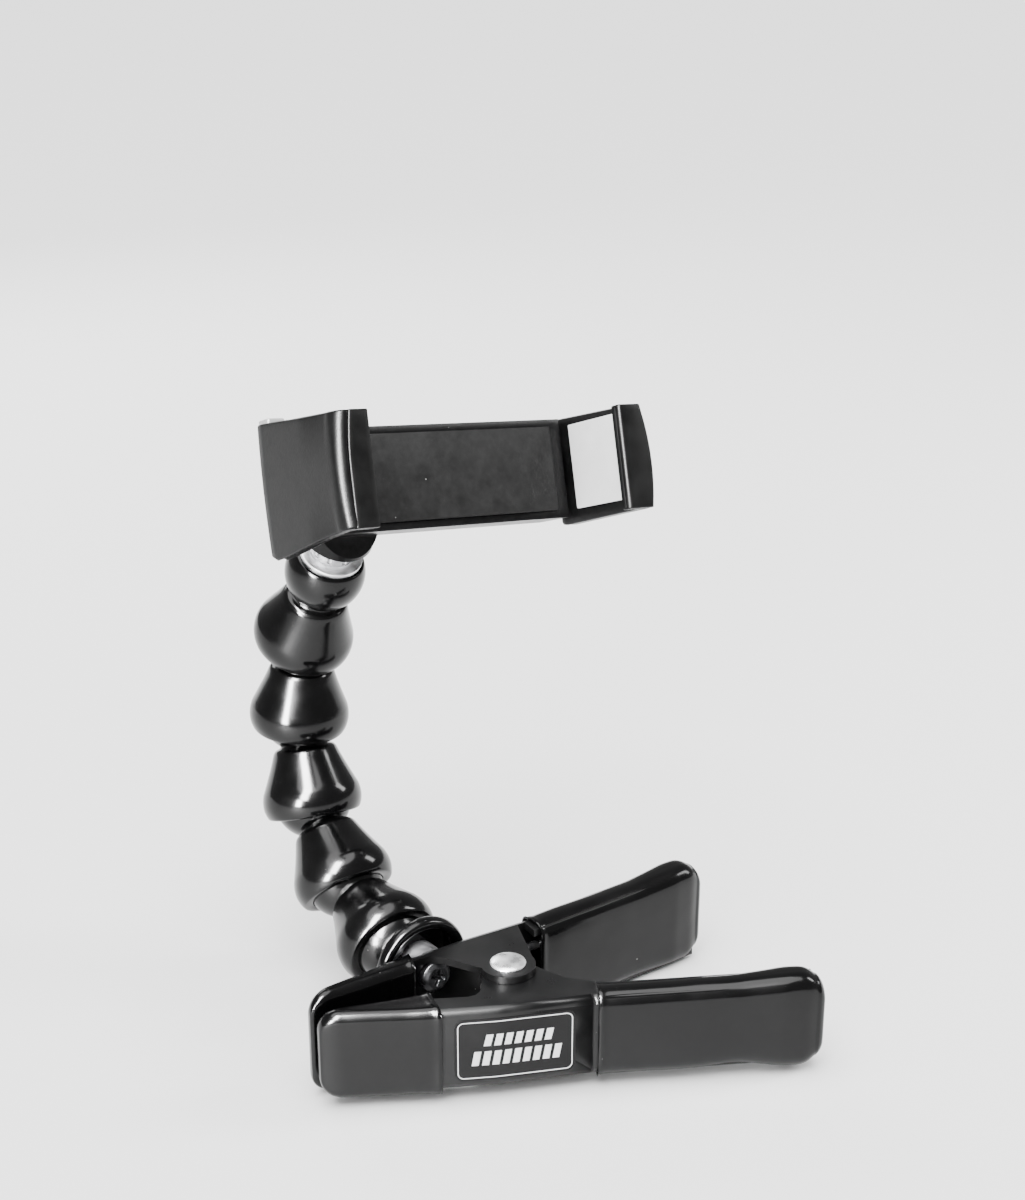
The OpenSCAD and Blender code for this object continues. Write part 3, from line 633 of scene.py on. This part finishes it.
def copy_node(node, name, surface, body, bevel=0.2, segments=2, boxes=()):
    """Copy of a CAD node: welded, flat faces merged, cut by boxes, sharp edges rounded."""
    sharp, smooth = rad(28), rad(32)
    bm = bmesh.new()
    bm.from_mesh(NODES[node].data)
    bmesh.ops.remove_doubles(bm, verts=bm.verts, dist=2e-6)
    if boxes:
        bm = cut_by_boxes(bm, boxes)
    bmesh.ops.dissolve_limit(bm, angle_limit=rad(0.6), verts=bm.verts, edges=bm.edges)
    bmesh.ops.recalc_face_normals(bm, faces=bm.faces)
    if bevel:
        edges = [e for e in bm.edges if len(e.link_faces) == 2 and abs(e.calc_face_angle_signed(0)) > sharp]
        bmesh.ops.bevel(bm, geom=edges, offset=bevel / 1000, offset_type="OFFSET", segments=segments,
                        profile=0.5, affect="EDGES", clamp_overlap=True)
    mesh = bpy.data.meshes.new(name)
    bm.to_mesh(mesh)
    bm.free()
    mesh.polygons.foreach_set("use_smooth", [True] * len(mesh.polygons))
    mesh.set_sharp_from_angle(angle=smooth)
    mesh.materials.clear()
    mesh.materials.append(MATERIALS[surface])
    return place(add_object(name, mesh), body, surface, node)


def dress(node, surface):
    """Procedural material on a CAD node that stays."""
    slots = NODES[node].data.materials
    slots.clear()
    slots.append(MATERIALS[surface])


copy_node("rear_half", "rear_sheet", "steel_black", "clamp_rear", 0.0)
copy_node("front_half", "front_sheet", "steel_black", "clamp_front", 0.0)
copy_node("base_screw", "arm_screw", "screw_black", "clamp_rear", 0.1)
dress("base_spacer", "zinc")
copy_node("end_collar", "arm_collar", "zinc", "link_5", 0.12)
dress("mount_stud", "zinc")
copy_node("housing_cover", "back_cover", "holder_plastic", "holder", 0.3)
copy_node("cover_screws", "back_screws", "screw_black", "holder", 0.08)
copy_node("left_pad", "pad_left", "pad_light", "holder")
copy_node("back_pad", "pad_back", "pad_dark", "holder", 0.4, 3)
copy_node("right_pad", "pad_right", "pad_light", "sliding_jaw")
dress("guide_rod_upper", "bright_steel")
dress("guide_rod_lower", "bright_steel")

# jaw springs on the guide rods; the real ones shorten as the jaw slides out, these keep one length
SPRING_A, SPRING_B, SPRING_TURNS = -13.95, 11.4, 9
SPRING_R, ROD_Y, ROD_Z = 2.1, 21.9, 6.3
JAW_Z = 0.4  # the jaws' middle height
SPRING_STEPS = SPRING_TURNS * 20
for tag, sign in (("upper", 1), ("lower", -1)):
    path = []
    for i in range(SPRING_STEPS + 1):
        f = i / SPRING_STEPS
        a = 2 * math.pi * SPRING_TURNS * f
        path.append((SPRING_A + (SPRING_B - SPRING_A) * f, ROD_Y + SPRING_R * math.cos(a),
                     JAW_Z + sign * ROD_Z + SPRING_R * math.sin(a)))
    spring = wire(f"slide_spring_{tag}", path, 0.35, "holder", f"jaw_spring_{tag}", 10, HOLDER)
    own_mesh(spring)

# the CAD jaws' walls and lips are cut off here, and made again below
copy_node("holder_body", "housing", "holder_plastic", "holder", 0.45, 3,
          [((-45, -20, -40), (-15, 16.9, 40)), ((-45, -20, -40), (-29.2, 22.7, 40))])
copy_node("right_jaw", "slide_tongue", "holder_plastic", "sliding_jaw", 0.25, 2,
          [((37.3, -20, -40), (60, 60, 40)), ((30, -20, -40), (60, 16.9, 40))])

# ---------- holder jaws ----------
JAW_LEFT, JAW_RIGHT = -32.35, 41.15  # outer faces in x
LIP_FRONT, LEFT_BACK, RIGHT_BACK = -6.0, 24.1, 22.5  # ends in y
Z_LOW, Z_HIGH = JAW_Z - 11.1, JAW_Z + 11.1


def height(y, table):
    """Edge height at y, from a table of (y, z)."""
    return float(np.interp(y, [p[0] for p in table], [p[1] for p in table]))


def corner_drop(y, end, r):
    """How far a rounded corner of radius r, which ends at y = end, drops its edge."""
    d = y - (end - r)
    return 0.0 if d <= 0 else r - math.sqrt(max(0.0, r * r - d * d))


def loft_jaw(name, outline, z_low, z_high, r, surface, body, *nodes, mirror=False):
    """Plan outlines stacked in z, with both end faces' edges rounded by r.

    outline(t) gives (x, y) points at the share t of the height, z_low(y) and z_high(y)
    the end faces. x counts from the left jaw's outer face, or with mirror inward from
    the right jaw's.
    """
    edge = [(r * (1 - math.sin(a)), r * (1 - math.cos(a))) for a in np.linspace(0, math.pi / 2, 6)]
    levels = [(inset, drop, 0) for inset, drop in edge]
    levels += [(0, None, t) for t in np.linspace(0.06, 0.94, 17)]
    levels += [(inset, drop, 1) for inset, drop in reversed(edge)]
    rings = []
    for inset, drop, t in levels:
        points = np.array(outline(t if drop is None else (0.02, 0.98)[t]), float)
        ahead = np.roll(points, -1, 0) - points
        behind = points - np.roll(points, 1, 0)
        ahead = np.stack([-ahead[:, 1], ahead[:, 0]], 1) / np.linalg.norm(ahead, axis=1)[:, None]
        behind = np.stack([-behind[:, 1], behind[:, 0]], 1) / np.linalg.norm(behind, axis=1)[:, None]
        spread = np.maximum(0.35, 1 + (behind * ahead).sum(1))
        moved = points + (behind + ahead) / spread[:, None] * inset
        ring = []
        for (x, y), (_, y0) in zip(moved, points):
            low, high = z_low(y0), z_high(y0)
            z = low + (high - low) * t if drop is None else (low + drop, high - drop)[t]
            ring.append(((JAW_RIGHT - x) if mirror else (JAW_LEFT + x), y, z))
        rings.append(ring)
    obj = finish_mesh(name, rings_mesh(rings, capped=True), surface, 38, world=PIV @ HOLDER)
    return place(obj, body, surface, *nodes)


def near_lip(y):
    """1 at the lip, falling to 0 along the side wall."""
    return float(np.interp(y, [-2.5, 1, 7], [1, 0.75, 0]))


def inner_wall(back):
    """Inner side of a jaw, from the lip's root to its back end."""
    points = [(4.4 - 1.2 * math.sin(a), -2.2 - 1.2 * math.cos(a)) for a in (0.4, 0.8, 1.2)]
    points += [(3.2, y) for y in np.linspace(-2.2, back - 0.5, 22)]
    return points + [(3.05, back - 0.12), (2.7, back)]


def left_seam(t):
    """x of the seam between the left jaw and its lip cover."""
    return 2.35 + 1.0 * max(0.0, 2 * t - 1) ** 2


def left_outline(t):
    """Its outer face is bowed inward at the top and bottom, most at the lip."""
    w = (2 * t - 1) ** 2
    side_bow, lip_bow, r = 0.28 * w, 0.85 * w, 2.3
    points = [(0.5 + side_bow, LEFT_BACK), (0.15 + side_bow, LEFT_BACK - 0.15), (side_bow, LEFT_BACK - 0.5)]
    for y in np.linspace(22, -3.2, 24):
        side = side_bow if y > -3 else 0
        points.append((side + (lip_bow - side_bow) * near_lip(y), y))
    points += [(lip_bow + r - r * math.cos(a), LIP_FRONT + r - r * math.sin(a))
               for a in np.linspace(0.18, math.pi / 2 - 0.12, 9)]
    seam = max(left_seam(t) - 0.12, points[-1][0] + 0.05)
    points += [(seam, LIP_FRONT + 0.06), (seam + 0.02, -4.7)]
    points += [(7.4, -4.7), (7.6, -4.5), (7.6, -3.6), (7.4, -3.4), (4.4, -3.4)]
    return points + inner_wall(LEFT_BACK)


def left_cover(t):
    seam = left_seam(t) + 0.14
    points = [(seam, -4.74), (seam, -5.7), (seam + 0.1, -5.92)]
    points += [(x, -6.04) for x in np.linspace(seam + 0.3, 7.2, 6)]
    return points + [(7.46, -5.96), (7.6, -5.7), (7.6, -4.74)]


LEFT_TOP = [(-7, Z_HIGH - 0.35), (-3.4, Z_HIGH - 0.3), (8, Z_HIGH + 0.25), (LEFT_BACK, Z_HIGH + 1.55)]
LEFT_LOW = [(-7, Z_LOW - 0.1), (-3.4, Z_LOW - 0.25), (4, Z_LOW - 1.0), (11, Z_LOW - 1.95), (17, Z_LOW - 2.8),
            (LEFT_BACK, Z_LOW - 3.5)]
loft_jaw("jaw_left", left_outline,
         lambda y: height(y, LEFT_LOW) + corner_drop(y, LEFT_BACK + 0.15, 2.6),
         lambda y: height(y, LEFT_TOP) - corner_drop(y, LEFT_BACK + 0.15, 1.3),
         0.5, "holder_plastic", "holder", "holder_body")
loft_jaw("lip_left", left_cover, lambda y: height(y, LEFT_LOW) - 0.02, lambda y: height(y, LEFT_TOP) + 0.02,
         0.22, "lip_rubber", "holder", "lip_cover_left")


def right_bow(t, y):
    """Outward bow of the right jaw's outer face, fullest near the lip."""
    return (0.75 - 1.7 * ((t - 0.42) / 0.58) ** 2) * (0.35 + 0.65 * near_lip(y))


def right_outline(t):
    points = [(0.5, RIGHT_BACK), (0.15, RIGHT_BACK - 0.15), (0.0, RIGHT_BACK - 0.5)]
    points += [(0.0, y) for y in np.linspace(21, -4.3, 23)] + [(0.12, -4.6), (0.35, -4.7)]
    points = [(x - right_bow(t, y), y) for x, y in points]
    points += [(6.75, -4.7), (6.9, -4.5), (6.9, -3.6), (6.7, -3.4), (4.4, -3.4)]
    return points + inner_wall(RIGHT_BACK)


def right_cover(t):
    bow = right_bow(t, -5)
    points = [(0.1 - bow, -4.74), (0.1 - bow, -4.9)]
    points += [(0.1 - bow + 1.1 * (1 - math.cos(a)), -4.95 - 1.07 * math.sin(a))
               for a in np.linspace(0.15, math.pi / 2, 6)]
    return points + [(5.9, -6.03), (6.3, -5.97), (6.62, -5.8), (6.82, -5.5), (6.9, -5.15), (6.9, -4.74)]


RIGHT_TOP = [(-7, Z_HIGH - 1.15), (-3.4, Z_HIGH - 1.05), (RIGHT_BACK, Z_HIGH - 0.2)]
RIGHT_LOW = [(-7, Z_LOW - 0.1), (-3.4, Z_LOW - 0.3), (RIGHT_BACK, Z_LOW - 0.9)]
loft_jaw("jaw_right", right_outline,
         lambda y: height(y, RIGHT_LOW) + corner_drop(y, RIGHT_BACK + 0.15, 1.4),
         lambda y: height(y, RIGHT_TOP) - corner_drop(y, RIGHT_BACK + 0.15, 1.2),
         0.45, "holder_plastic", "sliding_jaw", "right_jaw", mirror=True)
loft_jaw("lip_right", right_cover, lambda y: height(y, RIGHT_LOW) - 0.02, lambda y: height(y, RIGHT_TOP) + 0.02,
         0.3, "lip_rubber", "sliding_jaw", "lip_cover_right", mirror=True)

# low light tab on the rear top corner of the left jaw
tab_rings = [[(x, y, z) for x, y in rounded_rect(-31.9, -28.0, 19.6, 23.7, 0.6, 5, 1)]
             for z in (Z_HIGH + 0.6, Z_HIGH + 2.05)]
tab = finish_mesh("tab", rings_mesh(tab_rings, capped=True), "tab_light", bevel=0.3, world=PIV @ HOLDER)
place(tab, "holder", "tab_light", "side_tab")

# ---------- label on the front web ----------
LABEL_Z = sum(FRONT_Z) / 2
LABEL_X0, LABEL_X1, LABEL_HALF, LABEL_R = -15.1, 8.2, 6.8, 1.6
WEB = [(TIP_X, TIP_Y), (BEND_X, BEND_Y), (HANDLE_X, HANDLE_Y)]  # outer face, before mirroring


def on_web(x, z, lift):
    """Point on the front web's outer face at x and z, lifted off it."""
    a, b = (WEB[0], WEB[1]) if x < BEND_X else (WEB[1], WEB[2])
    t = (x - a[0]) / (b[0] - a[0])
    nx, ny = -(b[1] - a[1]), b[0] - a[0]
    s = math.hypot(nx, ny)
    return (x + nx / s * lift, -(a[1] + t * (b[1] - a[1]) + ny / s * lift), z)


plate_rings = []
for x in np.linspace(LABEL_X0, LABEL_X1, 40):
    d = max(0.0, LABEL_R - (x - LABEL_X0), LABEL_R - (LABEL_X1 - x))
    half = LABEL_HALF - (LABEL_R - math.sqrt(max(0.0, LABEL_R * LABEL_R - d * d)))
    low, high = ([on_web(x, LABEL_Z + half * f, lift) for f in np.linspace(-1, 1, 9)] for lift in (0.02, 0.18))
    plate_rings.append(high + low[::-1])
plate = finish_mesh("label_plate", rings_mesh(plate_rings, capped=True), "label", 30)
place(plate, "clamp_front", "label", "web_label")

KEYLINE_OUT, KEYLINE_IN = ((-14.55, 7.65, 6.3, 1.25), (-14.36, 7.46, 6.11, 1.06))
keyline_out, keyline_in = (rounded_rect(x0, x1, LABEL_Z - h, LABEL_Z + h, r, 7, 16)
                           for x0, x1, h, r in (KEYLINE_OUT, KEYLINE_IN))
band = [[on_web(x, z, lift) for x, z in outline] for lift, outline in
        ((0.17, keyline_out), (0.22, keyline_out), (0.22, keyline_in), (0.17, keyline_in))]
keyline = finish_mesh("label_keyline", rings_mesh(band, closed_loop=True), "keyline", 30)
place(keyline, "clamp_front", "label")

# plain slanted ticks; each row is its first x, count, middle z and height
TICK_W, TICK_STEP, TICK_SLANT = 1.3, 1.95, 0.55
TICK_ROWS = ((-9.6, 7, LABEL_Z + 2.1, 2.5), (-11.9, 9, LABEL_Z - 1.9, 3.1))
for row, (first_x, count, mid, tall) in enumerate(TICK_ROWS):
    for k in range(count):
        start = first_x + k * TICK_STEP
        end = start + TICK_W
        centre = start + TICK_W / 2 + TICK_SLANT / 2
        outline = [(start, mid - tall / 2), (end, mid - tall / 2), (end + TICK_SLANT / 2, mid),
                   (end + TICK_SLANT, mid + tall / 2), (start + TICK_SLANT, mid + tall / 2),
                   (start + TICK_SLANT / 2, mid)]
        rings = [[on_web(centre + (x - centre) * share, mid + (z - mid) * share, lift) for x, z in outline]
                 for lift, share in ((0.17, 1.0), (0.215, 1.0), (0.225, 0.94))]
        tick = finish_mesh(f"label_tick_{row}_{k}", rings_mesh(rings, capped=True), "keyline", 30)
        place(tick, "clamp_front", "label")

# ---------- floor and light ----------
FLOOR_HALF = 6.0  # metres
floor_mesh = bpy.data.meshes.new("floor")
corners = [(x * FLOOR_HALF, y * FLOOR_HALF, 0) for x, y in ((-1, -1), (1, -1), (1, 1), (-1, 1))]
floor_mesh.from_pydata(corners, [], [(0, 1, 2, 3)])
floor = add_object("floor", floor_mesh)
floor_paint = bpy.data.materials.new("floor")
floor_paint.use_nodes = True
floor_shader = floor_paint.node_tree.nodes["Principled BSDF"]
floor_shader.inputs["Base Color"].default_value = (0.86, 0.86, 0.86, 1)
floor_shader.inputs["Roughness"].default_value = 0.7
floor_mesh.materials.append(floor_paint)

world = bpy.data.worlds.new("studio")
bpy.context.scene.world = world
world.use_nodes = True
sky = world.node_tree.nodes["Background"]
sky.inputs["Color"].default_value = (1, 1, 1, 1)
sky.inputs["Strength"].default_value = 0.5


def add_light(name, kind, direction_to, **settings):
    """Light that shines along direction_to."""
    data = bpy.data.lights.new(name, kind)
    for key, value in settings.items():
        setattr(data, key, value)
    obj = add_object(name, data)
    obj.rotation_euler = Vector(direction_to).to_track_quat("-Z", "Y").to_euler()
    return obj


def softbox(name, location, target, width, tall, power, gloss_only=False):
    """Rectangular light, in metres; gloss_only adds highlights and lights nothing else."""
    aim = Vector(target) - Vector(location)
    obj = add_light(name, "AREA", aim, shape="RECTANGLE", size=width, size_y=tall, energy=power)
    obj.location = location
    obj.visible_camera = False
    obj.visible_diffuse = not gloss_only


add_light("sky", "SUN", (0.15, 0.1, -1), energy=7.2, angle=rad(60))
softbox("key", (-0.36, -0.39, 0.6), (-0.02, 0, 0.07), 0.22, 0.56, 150, gloss_only=True)
softbox("left", (-0.75, -0.62, 0.3), (-0.04, 0, 0.12), 0.2, 0.38, 130, gloss_only=True)
softbox("right", (0.6, -0.12, 0.42), (0, 0, 0.04), 0.14, 0.3, 3.5)
softbox("back", (-0.1, 0.75, 0.42), (0, 0, 0.03), 0.5, 0.2, 3.0)

# ---------- camera, solved from the photograph ----------
PICTURE = (1025, 1200)
FOCAL = 1909.0  # pixels
ELEVATION, AZIMUTH = rad(20.5), rad(21.5)
RIVET_TOP, RIVET_PIXEL, RIVET_DEPTH = Vector((0, 0, 22.6)), (508, 959.5), 377

right = Vector((math.cos(AZIMUTH), -math.sin(AZIMUTH), 0))
away = Vector((math.sin(AZIMUTH), math.cos(AZIMUTH), 0))
up = Vector((0, 0, 1))
forward = away * math.cos(ELEVATION) - up * math.sin(ELEVATION)
camera_up = away * math.sin(ELEVATION) + up * math.cos(ELEVATION)
offset_x = (RIVET_PIXEL[0] - PICTURE[0] / 2) / FOCAL * RIVET_DEPTH
offset_y = (RIVET_PIXEL[1] - PICTURE[1] / 2) / FOCAL * RIVET_DEPTH
eye = RIVET_TOP - right * offset_x + camera_up * offset_y - forward * RIVET_DEPTH

camera_data = bpy.data.cameras.new("cam")
camera_data.sensor_fit = "VERTICAL"
camera_data.sensor_height = 36.0
camera_data.lens = FOCAL / PICTURE[1] * camera_data.sensor_height
camera_data.clip_start = 0.01
camera_data.clip_end = 50
camera = add_object("cam", camera_data)
camera.matrix_world = (Matrix.Translation((eye - HOME) / 1000)
                       @ Matrix((right, camera_up, -forward)).transposed().to_4x4())
bpy.context.scene.camera = camera
